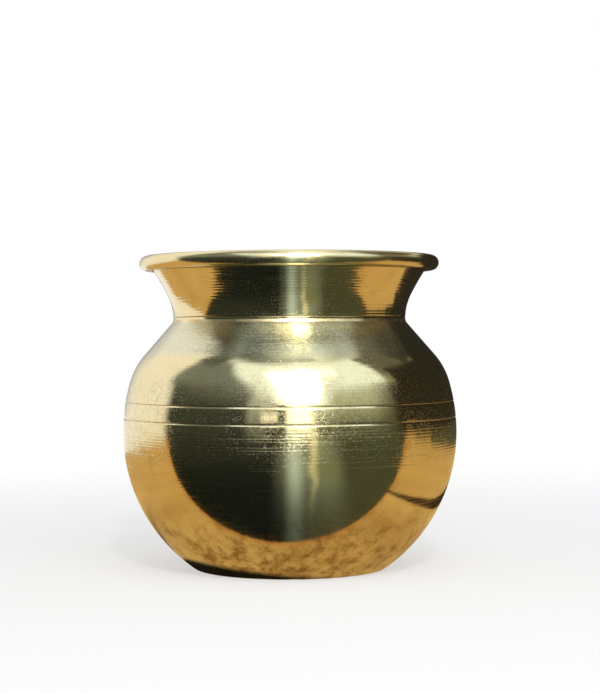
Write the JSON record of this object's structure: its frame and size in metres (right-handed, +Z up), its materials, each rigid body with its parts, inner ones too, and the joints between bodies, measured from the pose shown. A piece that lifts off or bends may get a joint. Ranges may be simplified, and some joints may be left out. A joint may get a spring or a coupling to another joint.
{
  "type": "kalash",
  "caption": "Round-bellied brass water pot with a flat base, sloping shoulder, flaring neck and a mouth rolled over a wire, open at the top.",
  "frame": {"origin": "centre of the plane that the pot stands on, on the pot's own axis", "axes": "+Z up along the pot's axis, out of the mouth; X and Y are alike, and the picture looks along +Y"},
  "size_m": [0.114, 0.114, 0.1065],
  "materials": {
    "polished_brass": "spun brass sheet, lathe polished, with fine turning marks, hair scratches and light tarnish; duller inside",
    "drawn_wire": "drawn wire, dull, hidden inside the rolled rim",
    "braze": "brazing alloy, paler than the sheet, dressed flush outside and left as it flowed inside"
  },
  "bodies": {
    "root": {"lower_bowl": "polished_brass", "shoulder_shell": "polished_brass", "neck_collar": "polished_brass", "rim_wire": "drawn_wire", "belly_braze": "braze", "neck_braze": "braze"}
  },
  "joints": []
}
